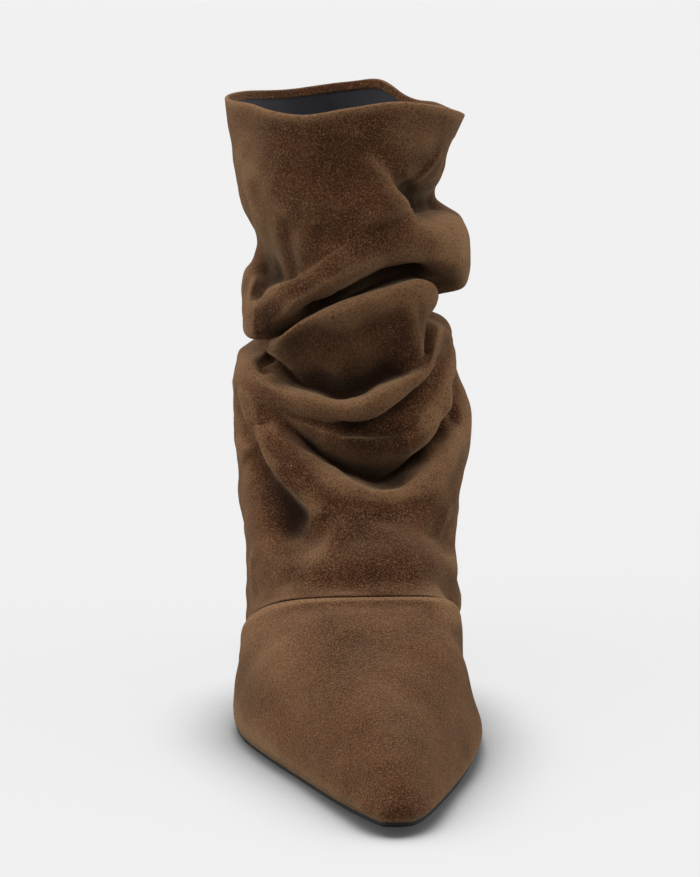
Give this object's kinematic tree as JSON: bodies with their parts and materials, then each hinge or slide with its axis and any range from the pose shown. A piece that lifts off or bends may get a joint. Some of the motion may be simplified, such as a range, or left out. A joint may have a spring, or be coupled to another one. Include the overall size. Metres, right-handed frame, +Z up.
{
  "type": "slouch boot",
  "caption": "Ankle boot for the right foot with a pointed toe, a gathered slouching leg, an open collar and a slim covered heel.",
  "frame": {"origin": "on the floor, under the middle of the heel's top lift", "axes": "+Z up, -Y towards the toe, +X towards the inner side of the foot, which is the right foot"},
  "size_m": [0.0906, 0.25, 0.2208],
  "materials": {
    "suede": "brown suede, napped",
    "heel_cover": "brown suede cover",
    "insole": "dark textile",
    "outsole": "matt black",
    "top_lift": "matt black"
  },
  "bodies": {
    "root": {"shaft": "suede", "vamp": "suede", "insole": "insole", "outsole": "outsole", "heel": "heel_cover", "top_lift": "top_lift"}
  },
  "joints": []
}
